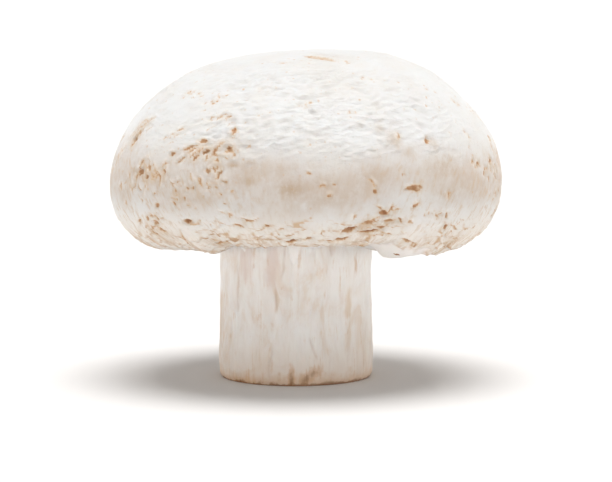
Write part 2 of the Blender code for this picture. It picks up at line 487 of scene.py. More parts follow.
# soft brown smears under the skin: (degrees round, height), spread, strength
smears = [
    ((-94, 26.3), (4, 1), 0.8),
    ((-85, 26.7), (3, 0.5), 0.4),
    ((-111, 29), (2, 0.5), 1),
    ((-106, 29.4), (2, 0.4), 0.65),
    ((-106, 27.2), (3, 0.7), 0.65),
    ((-118, 29.6), (9, 2.2), 0.3),
    ((-62, 31.8), (3, 1.1), 0.6),
    ((-57, 30.4), (3, 0.9), 0.42),
    ((-70, 27.6), (5, 1.6), 0.3),
    ((-66, 33.2), (2, 0.6), 0.4),
    ((-48, 31.2), (2, 1), 0.5),
    ((-47, 28.4), (7, 1.4), 0.42),
    ((-86, 24.8), (9, 1.2), 0.35),
    ((-112, 31), (5, 1.6), 0.25),
    ((-106, 28.4), (8, 1.5), 0.35),
    ((-146, 27.6), (4, 1), 0.85),
    ((-135, 27.2), (3, 0.8), 0.45),
    ((-44, 24.8), (8, 1.6), 0.28),
    ((-117, 31.6), (4, 0.8), 0.35),
    ((-128, 30), (5, 0.8), 0.3),
    ((-18, 27.5), (6, 2.5), 0.2),
    ((-156, 31.6), (5, 2), 0.45),
    ((-154, 25.5), (8, 2), 0.28),
    ((-71, 21.6), (3, 0.8), 0.6),
    ((-64, 22), (6, 1.2), 0.28),
    ((-138, 19.6), (9, 1), 0.28),
    ((-118, 19.2), (6, 0.5), 0.35),
    ((-42, 19.4), (12, 1), 0.18),
    ((-76, 41.1), (12, 0.25), 0.3),
    ((40, 27), (14, 2), 0.4),
    ((95, 25), (10, 2.5), 0.35),
    ((62, 30.5), (3, 0.8), 0.7),
    ((140, 28), (12, 2), 0.3),
    ((158, 25.5), (3, 0.7), 0.7),
]


def marginLift(azimuth):
    frontAmount, front, frontSpread = cap["frontLift"]
    away = np.abs((azimuth - front + pi) % (2 * pi) - pi)
    lift = frontAmount * (1 - ease(away, frontSpread - cap["liftEdge"], frontSpread + cap["liftEdge"]))
    return lift + humps(azimuth, cap["lipWaves"])


# the cap's outline from the crown to the inside, against the distance along it:
# share of the rim's radius, rise over the widest level, share of the lip's drop, climb inside the lip
def capOutline(rimRadius, crownRise):
    domeSteps, lipSteps = cap["outlineSteps"]
    turn = np.linspace(0, 1, domeSteps) ** 1.5 * pi / 2  # closer together at the crown
    quarter = np.linspace(0, 1, lipSteps)[1:] * pi / 2
    lipShare = cap["lipRadius"] / rimRadius
    foldShare = cap["foldRadius"] / rimRadius
    lipOut = lipShare + (1 - lipShare) * np.cos(quarter).clip(0) ** (2 / cap["lipPower"])
    foldOut = foldShare + (lipShare - foldShare) * np.cos(quarter)
    out = np.concatenate([np.sin(turn) ** (2 / cap["domeOut"]), lipOut, foldOut, [0.0]])
    rise = crownRise * np.cos(turn).clip(0) ** (2 / cap["domeUp"])
    fall = np.sin(quarter) ** (2 / cap["lipPower"])
    climb = cap["foldClimb"] * (1 - np.cos(quarter))
    blank = np.zeros(len(quarter))
    rise = np.concatenate([rise, blank, blank, [0.0]])
    fall = np.concatenate([np.zeros(len(turn)), fall, blank + 1, [1.0]])
    climb = np.concatenate([np.zeros(len(turn)), blank, climb, [cap["foldClimb"] + 1.0]])
    level = rise - cap["lipDrop"] * fall + climb
    along = np.concatenate([[0], np.cumsum(np.hypot(np.diff(out * rimRadius), np.diff(level)))])
    lipEnd = len(turn) + len(quarter) - 1
    ends = along[[lipEnd, lipEnd + len(quarter)]]
    return {"along": along, "out": out, "rise": rise, "fall": fall, "climb": climb, "ends": ends}


# a cube with finely divided sides, blown up to a ball
def blownCube(halvings):
    mesh = bpy.data.meshes.new("cube")
    shape = bmesh.new()
    bmesh.ops.create_cube(shape, size=2)
    shape.to_mesh(mesh)
    shape.free()
    cube = addObject("cube", mesh)
    divide = cube.modifiers.new("divide", "SUBSURF")
    divide.subdivision_type = "SIMPLE"
    divide.levels = halvings
    fine = applied(cube)
    points = np.tan(readTriples(fine.vertices, "co") * pi / 4)
    return fine, points / np.linalg.norm(points, axis=1)[:, None]


class CapForm:
    def __init__(self):
        low, high = boxOf("cap")
        self.radius = (high[0] - low[0]) / 2
        self.depthShare = (high[1] - low[1]) / (high[0] - low[0])
        self.centre = (high[0] + low[0]) / 2
        self.widest = low[2] + cap["widest"] * (high[2] - low[2])
        self.crownRise = high[2] - self.widest
        self.outline = capOutline(self.radius, self.crownRise)
        self.lip, self.fold = self.outline["ends"]

    def at(self, azimuth, along):
        line = self.outline
        names = ("out", "rise", "fall", "climb")
        out, rise, fall, climb = (np.interp(along, line["along"], line[name]) for name in names)
        waver = wavers(azimuth, cap["rimWavers"])
        x = out * self.radius * waver * np.cos(azimuth)
        y = out * self.radius * waver * np.sin(azimuth) * self.depthShare
        up = rise / self.crownRise
        z = self.widest + rise + climb - fall * (cap["lipDrop"] - marginLift(azimuth))
        z += cap["crownTip"] * up * x / self.radius
        return np.stack([x + cap["crownShift"] * up**1.3 + self.centre, y, z], axis=-1)

    # how far down from the crown a height is, at one place round
    def alongAt(self, azimuth, height):
        line = self.outline
        if height >= self.widest:
            return float(np.interp(self.widest - height, -line["rise"], line["along"]))
        share = (self.widest - height) / (cap["lipDrop"] - marginLift(azimuth))
        outer = line["along"] <= self.lip
        return float(np.interp(min(share, 1), line["fall"][outer], line["along"][outer]))


# how each tear is cut, in millimetres
notch = {
    "crook": 0.2,
    "crookSize": 1.1,
    "fullness": 0.76,
    "heavyEnd": 0.28,
    "reach": 1.4,  # how far past its ends it changes the skin
    "edge": (-0.08, 0.22),
    "stains": [(0.5, 0.3), (0.15, 0.9)],  # strength, and how far out they soak
    "stainMost": 1.5,
    "pit": (-0.22, 0.12),
    "depth": (0.08, 0.2),  # of all, and more for each millimetre of width
    "liftOut": 0.22,
    "liftWide": 0.2,
    "liftEnd": (0.6, 0.4),
    "liftShare": 0.5,
}


# one tear: a narrow bowed notch, browner at one end, with a slightly lifted upper edge
def tearSkin(skin, azimuth, height, size, slant, bow, brown, heavyEnd):
    length, width = size
    down = skin["along"] - skin["form"].alongAt(azimuth, height)
    reach = 0.5 * length + notch["reach"]
    near = np.flatnonzero(np.abs(down) < reach)
    turn = (skin["azimuth"][near] - azimuth + pi) % (2 * pi) - pi
    right = turn * skin["radius"][near]
    close = np.abs(right) < reach
    near, right = near[close], right[close]
    down = down[near]
    lengthwise = right * cos(slant) - down * sin(slant)
    across = right * sin(slant) + down * cos(slant) + skin["crook"][near]
    way = np.clip(lengthwise / (0.5 * length), -1, 1)
    bent = across - bow * way**2
    gap = np.hypot(np.clip(np.abs(lengthwise) - 0.5 * length, 0, None), bent)
    gap -= notch["fullness"] * width * (1 - way**2)
    here = (brown * (1 + notch["heavyEnd"] * heavyEnd * way) + 1) * (1 - ease(gap, *notch["edge"])) - 1
    skin["tear"][near] = np.maximum(skin["tear"][near], here)
    away = np.clip(gap, 0, None)
    soaked = sum(share * bell(away, 0, soak) for share, soak in notch["stains"])
    stain = min(brown, notch["stainMost"]) * soaked
    skin["halo"][near] = 1 - (1 - skin["halo"][near]) * (1 - stain)
    pit = ease(-gap, *notch["pit"])
    endShare, endFade = notch["liftEnd"]
    lifted = bell(bent + 0.5 * width + notch["liftOut"], 0, notch["liftWide"])
    lifted *= ease(endShare * length - np.abs(lengthwise), 0, endFade)
    depth = notch["depth"][0] + notch["depth"][1] * width
    skin["push"][near] += depth * min(brown, 2) * (notch["liftShare"] * lifted - pit)
    # the lifted edge is made paler later: pale skin with painted highlight
    skin["paleFlakeAndHighlight"][near] = np.maximum(skin["paleFlakeAndHighlight"][near], lifted * min(brown, 1))


# how far chance takes a tear from its row
chance = {"away": 0.6, "longest": 1.2, "width": (0.85, 1.12), "turn": 40, "paler": 0.8, "browner": 1.08}


def tearAround(skin, dice, place, spread, size, slant, bow, brown, looseness):
    azimuth = radians(place[0] + dice.gauss(0, chance["away"]) * spread[0])
    height = place[1] + dice.gauss(0, chance["away"]) * spread[1]
    length = size[0] * dice.uniform(1 - looseness, chance["longest"])
    size = (length, size[1] * dice.uniform(*chance["width"]))
    slant = radians(slant + dice.gauss(0, chance["turn"]) * looseness)
    brown = brown * dice.uniform(1 - chance["paler"] * looseness, chance["browner"])
    tearSkin(skin, azimuth, height, size, slant, bow, brown, dice.choice((-1, 1)))


def tearAll(skin):
    dice = random.Random(freedom["seed"])
    for size, slant, bow, brown, places in tearKinds:
        for place in places:
            tearAround(skin, dice, place, (0, 0), size, slant, bow, brown, freedom["alone"])
    for place, spread, count, *shape in tearCrowds:
        for _ in range(count):
            tearAround(skin, dice, place, spread, *shape, freedom["crowd"])
    dice = random.Random(strewn["seed"])
    for _ in range(strewn["crowds"]):
        place, spread, count, size, slant, bow, brown = dice.choice(tearCrowds)
        place = (dice.uniform(strewn["from"], strewn["to"]), place[1] + dice.gauss(0, strewn["crowdRise"]))
        times, plusRound, plusUp = strewn["spread"]
        spread = (times * spread[0] + plusRound, spread[1] + plusUp)
        slant = slant * dice.choice((-1, 1))
        for _ in range(count):
            tearAround(skin, dice, place, spread, size, slant, bow, brown, freedom["crowd"])
    for _ in range(strewn["alone"]):
        size, slant, bow, brown, places = dice.choice(tearKinds[: strewn["kinds"]])
        azimuth = dice.uniform(strewn["from"], strewn["to"])
        place = (azimuth, dice.choice(places)[1] + dice.gauss(0, strewn["aloneRise"]))
        slant = slant * dice.choice((-1, 1))
        tearAround(skin, dice, place, (0, 0), size, slant, bow, brown, freedom["strewn"])


# how the overlapping scales lie, in shares of their size
scaleForm = {
    "jitter": (0.45, 0.5),
    "lift": (0.35, 1.0),
    "fineWarp": 0.35,
    "broadWarp": 0.9,
    "broadSize": 7.0,  # in millimetres
    "steepness": 0.8,
    "gap": 0.34,
}


# each scale swells outwards and ends in a step; their centres are uneven rows round the cap
def scaleCells(form, base, along, size, slant, rows, seed):
    wide, tall = size
    first, last = rows
    jitterRound, jitterDown = scaleForm["jitter"]
    dice = random.Random(seed)
    centres = []
    for row in np.arange(first, last, tall):
        ring = form.at(np.linspace(-pi, pi, 400), row)
        around = np.hypot(*np.diff(ring[:, :2], axis=0).T).sum()
        count = max(6, round(around / wide))
        for number in range(count):
            azimuth = (number + dice.uniform(-jitterRound, jitterRound)) / count * 2 * pi
            down = row + dice.uniform(-jitterDown, jitterDown) * tall
            x, y, _ = form.at(azimuth, down)
            centres.append((x * tall / wide, y * tall / wide, down, dice.uniform(*scaleForm["lift"])))
    tree = kdtree.KDTree(len(centres))
    for number, (x, y, down, _) in enumerate(centres):
        tree.insert((x, y, down), number)
    tree.balance()
    warp = scaleForm["fineWarp"] * tall * cloud(base / (0.5 * wide), seed + 50)
    warp += scaleForm["broadWarp"] * tall * cloud(base / scaleForm["broadSize"], seed + 60)
    level = along + (warp + slant * base[:, 0])
    spots = np.column_stack([base[:, 0] * tall / wide, base[:, 1] * tall / wide, level])
    rise = np.zeros(len(along))
    under = np.zeros(len(along))
    for number in np.flatnonzero((level > first - tall) & (level < last + tall)):
        (_, nearest, gap), (_, _, nextGap) = tree.find_n(spots[number], 2)
        _, _, down, lift = centres[nearest]
        share = min(max(0.5 + scaleForm["steepness"] * (spots[number, 2] - down) / tall, 0), 1)
        rise[number] = lift * share
        # under marks the step at each scale's lower edge, where painted shade is laid
        under[number] = max(0, 1 - (nextGap - gap) / (scaleForm["gap"] * tall)) * share
    return rise, under


def shapeCap():
    form = CapForm()
    mesh, ball = blownCube(cap["halvings"])
    polar = np.degrees(np.arccos(np.clip(ball[:, 2], -1, 1)))
    azimuth = np.arctan2(ball[:, 1], ball[:, 0])
    along = np.interp(polar, [0, 140, 155, 180], [0, form.lip, form.fold, form.outline["along"][-1]])
    base = form.at(azimuth, along)
    writePoints(mesh, base)
    normals = readTriples(mesh.vertex_normals, "vector")
    height = base[:, 2]
    outside = 1 - ease(along, form.lip - 0.5, form.lip + 1.0)

    # scales cover the crown in patches and crowd together round the margin
    slant = cap["scaleSlant"]
    scales, scalesUnderShade = scaleCells(form, base, along, cap["scaleSize"], slant, cap["scaleRows"], 1)
    rings = np.stack([0.5 * base[:, 0], 0.5 * base[:, 1], along], axis=-1)
    patchy = np.clip(0.65 + 0.7 * cloud(rings / 3.2, 3), 0.1, 1.2)
    zone = sum(share * ease(along, *reach) for share, *reach in cap["scaleStarts"])
    zone *= 1 - 0.94 * ease(along - 2.2 * cloud(base / 6.0, 13), *cap["scaleEnds"])
    front = 0.45 + 0.58 * hump(azimuth, -1.5, 0.6) + 0.3 * cloud(base / 11, 4)
    scaly = np.clip(zone * front, 0, 1.1) * patchy
    slanted = along + slant * base[:, 0] + 0.9 * cloud(base / 7.0, 61)
    wide, tall = cap["wrinkleSize"]
    folds = np.column_stack([base[:, 0] / wide, base[:, 1] / wide, slanted / tall])
    wrinkles = 1 - 2 * np.abs(cloud(folds, 15))
    first, last = cap["marginRows"]
    rows = (form.lip + first, form.lip + last)
    crowd, crowdUnderShadeAndStain = scaleCells(form, base, along, cap["marginSize"], 0, rows, 2)
    sideways = np.abs(np.cos(azimuth))
    crowded = ease(along - form.lip, *cap["marginStarts"]) * outside
    crowded *= np.clip(0.62 + 0.7 * cloud(base / 3.4, 7), 0, 1.1)
    crowded *= 1 - 0.85 * sideways**6
    crowded *= 1 - 0.5 * sideways**2 * ease(along - form.lip, -6, -3)

    # fibres run out to the rim and are drawn in under it
    drawn = azimuth + cap["fibreLean"] * np.cos(azimuth) * (along - cap["fibreMiddle"]) / form.radius
    spokes = circle(drawn)
    creases = cloud(np.column_stack([spokes * 20, along / 6]), 11)
    creaseStrength = ease(along - form.lip, *cap["creaseStarts"]) * outside * (0.3 + 0.7 * sideways)

    push = cap["lumps"] * (cloud(base / 9.0, 8) + 0.3 * cloud(base / 2.2, 12)) * outside
    for amount, where, down, wide in cap["shoulders"]:
        push += amount * hump(azimuth, where, 0.8) * bell(along, down, wide)
    push += cap["scaleDepth"] * scaly * (scales - 0.3)
    push += cap["wrinkleDepth"] * np.clip(zone * front, 0, 1) * wrinkles
    push += cap["marginDepth"] * crowded * (crowd - 0.3)
    push += cap["creaseDepth"] * creaseStrength * creases
    skin = {
        "form": form,
        "azimuth": azimuth,
        "along": along,
        "radius": np.hypot(base[:, 0] - form.centre, base[:, 1]),
        "push": push,
        "crook": notch["crook"] * cloud(base / notch["crookSize"], 31),
        "tear": np.full(len(along), -1.0),
        "paleFlakeAndHighlight": np.zeros(len(along)),
        "halo": np.zeros(len(along)),
    }
    tearAll(skin)

    # the skin ends near the lip's lowest ring; below that is bare flesh
    lobeAmount, lobe, lobeSpread = cap["bareLobe"]
    lobeShare = hump(azimuth, lobe, lobeSpread)
    tucked = humps(azimuth, [cap["skinTuck"]])
    ragged = 0.18 * cloud(base / 1.3, 9) + 0.15 * cloud(base / 4.0, 10)
    edge = form.widest - cap["lipDrop"] + marginLift(azimuth) + cap["skinEdge"]
    edge = edge + ragged * (1 + 1.5 * lobeShare) + lobeAmount * lobeShare - tucked
    inside = form.lip + 2 * tucked
    soft = cap["skinSoft"]
    flesh = np.maximum(1 - ease(height, edge - soft, edge + soft), ease(along, inside - soft, inside + soft))
    swell = cap["lobeSwell"] * lobeShare * ease(edge - height, 0.2, 1.6)
    dimples = 0.06 * cloud(base / 1.6, 14)
    push = skin["push"] * (1 - flesh) + (swell + dimples - cap["skinThick"]) * flesh
    writePoints(mesh, (base + normals * push[:, None]) * mm)

    onSkin = {
        "paleFlakeAndHighlight": skin["paleFlakeAndHighlight"],
        "halo": skin["halo"],
        # crest: where the margin scales rise highest, made paler as pale flakes with painted highlight
        "crest": crowded * crowd,
        "scaly": scaly + crowded,
        # painted shade: the wrinkle valleys and the step under each scale's lower edge
        "wrinkleShade": np.clip(0.4 - wrinkles, 0, 1) * zone * front,
        "under": scaly * scalesUnderShade,
        # under the margin's scales: partly the brown of their undersides, partly painted shade
        "crowdUnderShadeAndStain": crowded * crowdUnderShadeAndStain,
        "crease": creaseStrength,
        "smear": patches(azimuth, height, smears),
    }
    marks = {name: values * (1 - flesh) for name, values in onSkin.items()}
    marks["tear"] = skin["tear"] - 2 * flesh
    marks["edge"] = bell(height, edge + 0.1, 0.25) * (along < form.lip)
    marks["sideways"] = sideways
    marks["flesh"] = flesh
    marks["pale"] = humps(azimuth, [cap["palePatch"]]) * (1 - ease(height, 25, 29))
    marks["along"] = along
    marks["spokeX"] = spokes[:, 0]
    marks["spokeY"] = spokes[:, 1]
    keepMarks(mesh, marks)
    return mesh


capColours = {
    "white": (0.655, 0.652, 0.645),
    "cream": (0.645, 0.628, 0.603),
    # belt: brown stain together with painted shade of the cap's sides
    "beltStainAndShade": (0.525, 0.43, 0.355),
    # lip: warm tone, made lighter than the crown's white as painted light from the floor's bounce
    "lip": (0.79, 0.732, 0.67),
    "flesh": (0.83, 0.785, 0.75),
    # pale flakes, also used as painted highlight on lifted edges and crests
    "paleFlakeAndHighlight": (0.82, 0.79, 0.75),
    "smudge": (0.43, 0.3, 0.19),
    # painted shade for grooves, wrinkles and the steps under scales
    "grooveShade": (0.5, 0.465, 0.435),
    "tan": (0.56, 0.425, 0.295),
    "fawn": (0.57, 0.395, 0.245),
    "brown": (0.41, 0.21, 0.092),
    "dark": (0.24, 0.09, 0.032),
}


# where the colours begin and end, in millimetres of height
capLevels = {"lip": (18.5, 25.0), "beltStart": (21.0, 26.0), "beltEnd": (26.4, 32.0), "veinsEnd": (27, 32)}


# small scales for the surface only: how far down each one a point is, and the shadow under its free edge
def fineScales(skin, size, ringPlace):
    wobble = skin.node("TexNoise", None, {0: ringPlace, 2: 1 / (0.9 * mm), 3: 1.0}, out=1)
    shift = skin.node("VectorMath", {"operation": "SUBTRACT"}, {0: wobble, 1: (0.5, 0.5, 0.5)})
    shift = skin.stretch((mm,) * 3, shift)
    moved = skin.node("VectorMath", {"operation": "ADD"}, {0: ringPlace, 1: shift})
    sockets = {"Vector": moved, "Scale": 1 / (size * mm)}
    centre = skin.node("TexVoronoi", None, sockets, out=2)
    share = 0.5 + (1 / (size * mm)) * (skin.axis(moved, 2) - skin.axis(centre, 2))
    border = skin.node("TexVoronoi", {"feature": "DISTANCE_TO_EDGE"}, sockets)
    shadow = (1 - skin.fade(border, 0.0, 0.16)) * skin.fade(share, 0.45, 0.85)
    return skin.fade(share, 0.0, 1.0), shadow


def capFinish():
    skin = Recipe(bpy.data.materials.new("capSkin"), capColours)
    height = skin.axis(skin.place, 2)
    along = mm * skin.mark("along")
    ringPlace = skin.point(0.5 * skin.axis(skin.place, 0), 0.5 * skin.axis(skin.place, 1), along)
    spokes = skin.point(skin.mark("spokeX"), skin.mark("spokeY"), 12 * along)

    blotch = skin.grain(6.0, rough=0.55)
    broad = skin.grain(5.0, ringPlace)
    patchy = skin.grain(1.6)
    fine = skin.grain(0.38)
    fibre = skin.grain(0.36, skin.stretch((22 * mm,) * 3, spokes))
    crease = skin.grain(0.85, skin.stretch((22 * mm, 22 * mm, 9 * mm), spokes), rough=0.55)
    swell, shadow = fineScales(skin, 0.62, ringPlace)
    scaly = skin.mark("scaly")
    level = height + (5 * mm) * (blotch - 0.5)

    # the ground: white above; a brown belt, partly the skin's own stain and partly painted shade where the
    # sides turn away from the overhead light; and a warm lip with tan veins, the lip made lighter than the
    # crown as painted light from the floor's bounce
    skin.shade = capColours["white"]
    skin.lay(skin.fade(blotch, 0.42, 0.66), "cream")
    # painted light: the lip is coloured lighter, as if lit from below by the floor
    skin.lay((1 - skin.above(height, capLevels["lip"])) * (0.55 + 0.5 * patchy), "lip")
    beltStainAndShade = skin.above(level, capLevels["beltStart"]) * (1 - skin.above(level, capLevels["beltEnd"]))
    beltStainAndShade *= 1 - skin.mark("pale")
    mottled = skin.fade(0.55 * broad + 0.35 * patchy + 0.22 * fibre, 0.4, 0.7)
    # painted shade: the belt colour darkens the sides where they turn from the light, on top of their brown
    # stain
    skin.lay(0.95 * beltStainAndShade * (0.38 + 0.62 * mottled), "beltStainAndShade")
    veins = skin.fade(fibre, 0.51, 0.64) * skin.fade(patchy, 0.38, 0.56)
    veins *= 0.15 + 0.85 * skin.mark("sideways")
    skin.lay(0.75 * veins * (1 - skin.above(level, capLevels["veinsEnd"])), "tan")
    skin.lay(0.75 * skin.specks(1.0, 0.6) * skin.fade(patchy, 0.4, 0.6), "fawn")
    skin.lay(0.35 * skin.specks(0.55, 0.55) * skin.fade(blotch, 0.4, 0.6), "fawn")

    # smears; painted shade under the scales and in the wrinkles; pale flakes with painted highlight on the
    # margin's crests; tan and brown along the creases and under the margin's scales, there partly their own
    # colour and partly painted shade
    smear = skin.mark("smear") * skin.fade(patchy + 0.3 * fibre + 0.7 * (fine - 0.5), 0.2, 0.78)
    skin.lay(0.88 * smear, "smudge")
    creased = skin.mark("crease") * (1 - skin.fade(crease, 0.38, 0.52))
    skin.lay(0.85 * creased, "fawn")
    skin.lay(0.6 * creased * skin.fade(patchy, 0.5, 0.62), "brown")
    # painted highlight: the raised crests of the margin scales are made paler, with their pale flakes
    skin.lay(0.55 * skin.fade(skin.mark("crest"), 0.25, 0.8), "paleFlakeAndHighlight")
    # painted shade under the scale steps and in the wrinkle valleys
    skin.lay(0.25 * skin.mark("under") + 0.16 * shadow * scaly, "grooveShade")
    skin.lay(0.36 * skin.mark("wrinkleShade"), "grooveShade")
    # tan and brown under the margin's scales: partly their own colour, partly painted shade
    crowdUnderShadeAndStain = skin.mark("crowdUnderShadeAndStain")
    skin.lay(0.9 * skin.fade(crowdUnderShadeAndStain, 0.03, 0.45), "fawn")
    brownUnderShadeAndStain = skin.fade(crowdUnderShadeAndStain + 0.9 * (fine - 0.5), 0.22, 0.6) * skin.fade(patchy, 0.42, 0.58)
    skin.lay(0.8 * brownUnderShadeAndStain, "brown")
    skin.lay(skin.mark("flesh"), "flesh")
    skin.lay(0.4 * skin.mark("edge") * skin.fade(fine + 0.5 * patchy, 0.6, 0.95), "fawn")

    # tears, their lifted upper edges made pale with painted highlight
    skin.lay(0.4 * skin.mark("paleFlakeAndHighlight"), "paleFlakeAndHighlight")
    skin.lay(0.75 * skin.fade(skin.mark("halo") + 1.2 * (patchy + fine - 1), 0.15, 1.6), "tan")
    tear = skin.mark("tear") + 1.3 * (fine - 0.5) + 1.1 * (patchy - 0.5)
    skin.lay(0.7 * skin.fade(tear, -0.1, 0.7), "fawn")
    skin.lay(0.85 * skin.fade(tear, 0.5, 1.2), "brown")
    skin.lay(0.75 * skin.fade(tear, 1.2, 1.95), "dark")

    normal = skin.bump(swell * scaly, 0.1)
    normal = skin.bump(crease * skin.mark("crease"), 0.2, normal)
    normal = skin.bump(0.6 * fine + 0.4 * skin.grain(0.15, detail=2.0), 0.08, normal)
    normal = skin.bump(fibre, 0.04, normal)
    return skin.finish(0.52 + 0.22 * fine, normal, glow=0.15, depth=1.0, sheen=0.05)


addPiece("domedCap", shapeCap(), capFinish(), "cap")


# turns an outline of (radius, height) points about +Z into a closed mesh
def turned(name, outline, steps):
    line = bpy.data.meshes.new(name)
    line.from_pydata([(radius, 0, height) for radius, height in outline], [], [])
    line.edges.add(len(outline) - 1)
    line.edges.foreach_set("vertices", [end for n in range(len(outline) - 1) for end in (n, n + 1)])
    body = addObject(name, line)
    turn = body.modifiers.new("turn", "SCREW")
    turn.steps = steps
    turn.render_steps = steps
    turn.use_merge_vertices = True
    turn.merge_threshold = 1e-5
    mesh = applied(body)
    shape = bmesh.new()
    shape.from_mesh(mesh)
    bmesh.ops.recalc_face_normals(shape, faces=shape.faces[:])
    shape.to_mesh(mesh)
    shape.free()
    return mesh


# stem: a fibrous column, cut flat
stem = {
    "roundSteps": 480,
    "sideSteps": 170,
    "cutSteps": 26,
    "slimness": 0.97,
    "wavers": [(2, 0.01, 0.4), (3, 0.008, -1.0)],
    "bulge": (0.01, 5),
    "drawn": 0.022,  # the cut end is a little narrower
    "drawnLength": 0.15,
    "fibreDepth": 0.05,
    "fineDepth": 0.04,
    "unevenness": 0.16,
    "furrowDepth": 0.14,
    "furrowWidth": 0.017,
    "rimRound": 0.25,
    "collarHeight": 18.4,  # shreds of veil cling above this
    "collarThick": 0.16,
    "tags": [(2.6, -1.58, 0.07), (1.2, -1.36, 0.05), (1.0, -2.3, 0.1)],  # how far they hang, where, how wide
    "dish": (0.35, 0.85),  # of the cut: depth, and out to what share of it
    "knifeDepth": 0.07,
}

# thin furrows up the side: degrees round, lowest and highest point, lean to the right going up, how deep
furrows = [
    (-140, 8, 16, 0, 0.8),
    (-99, 13, 18, 1, 0.7),
    (-104, 9, 12.5, 0, 1),
    (-110, 0, 5.5, 1, 0.6),
    (-75, 3, 6.5, -4, 0.8),
    (-62, 16, 18, 0, 0.9),
    (-39, 13.5, 17, 6, 0.7),
    (-47, 3.5, 8, -1, 0.4),
    (-25, 1, 8, 1, 0.5),
    (-163, 3, 6, -8, 0.5),
    (10, 3, 14, 2, 0.6),
    (34, 9, 19, -3, 0.8),
    (58, 2, 9, 0, 0.6),
    (83, 7, 18, 3, 0.7),
    (104, 1, 7, -2, 0.8),
    (133, 10, 19, 1, 0.6),
    (160, 3, 12, 0, 0.7),
]

# soft streaks of colour: (degrees round, height), half their width and height, strength
stemStreaks = [
    ((-46, 10.2), (4, 2.2), 1),
    ((-45, 6.8), (2, 3), 0.55),
    ((-24, 4.6), (15, 4.5), 0.5),
    ((-37, 15), (2, 1.2), 0.8),
    ((-118, 3.6), (10, 3.4), 0.46),
    ((-104, 10.8), (2, 1.8), 0.8),
    ((-104, 6.6), (2, 1.2), 0.5),
    ((-171, 8), (8, 3.2), 1.2),
    ((-162, 4.3), (1, 0.4), 0.9),
    ((20, 11), (4, 5), 0.6),
    ((75, 8), (5, 6), 0.5),
    ((118, 13), (3, 4), 0.7),
    ((142, 5), (12, 4), 0.5),
]
stemBlushes = [
    ((-131, 15.4), (9, 3.2), 0.95),
    ((-108, 15.4), (8, 3.5), 1),
    ((-84, 16.5), (3, 2), 0.55),
    ((-68, 17.8), (6, 1), 0.45),
    ((50, 16.5), (12, 3), 0.7),
    ((140, 16.5), (10, 3), 0.7),
]


# brown blots at the foot: (degrees round, height), half width in radians and height, strength, lean
stemBlots = [
    ((-80, 1.3), (0.13, 1.2), 1.0, 0.08),
    ((-93, 0.9), (0.045, 1.4), 1.0, 0),
    ((-138, 0), (0.35, 0.7), 0.9, 0),
    ((75, 0), (0.14, 1.6), 0.7, 0),
]


def shapeStem():
    low, high = boxOf("stem")
    top = high[2]
    halfWide = (high[0] - low[0]) / 2
    halfDeep = (high[1] - low[1]) / 2
    cut = [(share, 0.0) for share in np.linspace(0, 1, stem["cutSteps"])]
    side = [(1.0, share * top) for share in np.linspace(0, 1, stem["sideSteps"])[1:]]
    mesh = turned("cutStem", cut + side + [(0.5, top), (0.0, top)], stem["roundSteps"])
    points = readTriples(mesh.vertices, "co")
    azimuth = np.arctan2(points[:, 1], points[:, 0])
    spoke = np.hypot(points[:, 0], points[:, 1])
    height = points[:, 2]
    side = ease(spoke, 0.9, 1.0)
    share = height / top
    ring = circle(azimuth)

    # long fibres: noise that changes fast round the stem and slowly up it
    def upright(around, up, seed):
        return cloud(np.column_stack([ring * around, height * up]), seed)

    fine = upright(17, 0.16, 22)
    fibres = 0.8 * (1 - 2 * np.abs(upright(4.5, 0.1, 21))) + 0.7 * fine
    wander = 0.03 * upright(1.5, 0.35, 24)
    furrow = np.zeros(len(height))
    for degrees, lowest, highest, lean, depth in furrows:
        way = (height - lowest) / (highest - lowest)
        reach = depth * ease(way, 0.0, 0.25) * (1 - ease(way, 0.75, 1.0))
        centre = radians(degrees) + radians(lean) * way - wander
        furrow = np.maximum(furrow, reach * hump(azimuth, centre, stem["furrowWidth"]))
    drawn = stem["drawn"] * np.clip(1 - share / stem["drawnLength"], 0, 1) ** 2
    bulge, turns = stem["bulge"]
    radius = stem["slimness"] * wavers(azimuth, stem["wavers"]) - drawn + bulge * np.cos(turns * share)
    ragged = 0.9 * upright(5, 0, 25) + 0.6 * upright(15, 0.2, 26)
    collarEnd = stem["collarHeight"] + ragged - humps(azimuth, stem["tags"])
    collar = ease(height - collarEnd, -0.15, 0.15) * side
    push = stem["fibreDepth"] * fibres - stem["furrowDepth"] * furrow
    push += stem["unevenness"] * upright(1.6, 0.17, 23)
    push = push * (1 - 0.6 * collar) + stem["collarThick"] * collar
    rounding = stem["rimRound"] * np.exp(-height / 0.25) * side
    push = push * ease(height, 0, 0.6) + stem["fineDepth"] * fine - rounding * 0.5
    radius = radius * spoke + side * push / halfWide
    x = radius * np.cos(azimuth) * halfWide
    y = radius * np.sin(azimuth) * halfDeep

    # the knife left faint ridges across the cut
    face = (1 - side) * (height < 0.01)
    knife = cloud(np.column_stack([x * 0.25, y * 1.6, height]), 27)
    dish, dishShare = stem["dish"]
    dished = dish * np.clip(1 - (spoke / dishShare) ** 2, 0, 1) + stem["knifeDepth"] * (1 + knife)
    z = height + np.clip(face * dished, 0, None)
    writePoints(mesh, np.column_stack([x, y, z]) * mm)
    warped = azimuth + 0.9 * wander + 0.02 * upright(9, 0.5, 28)
    blot = np.zeros(len(height))
    for (degrees, level), (wide, tall), strength, lean in stemBlots:
        there = hump(azimuth - lean * (height - 1.0), radians(degrees), wide)
        blot = np.maximum(blot, strength * there * bell(height, level, tall))
    marks = {
        "furrow": furrow * side,
        "collar": collar,
        "spoke": spoke,
        "blot": blot * side,
        "streak": patches(warped, height, stemStreaks, 4) * side,
        "blush": patches(warped, height, stemBlushes, 4) * side * (1 - collar),
    }
    keepMarks(mesh, marks)
    return mesh


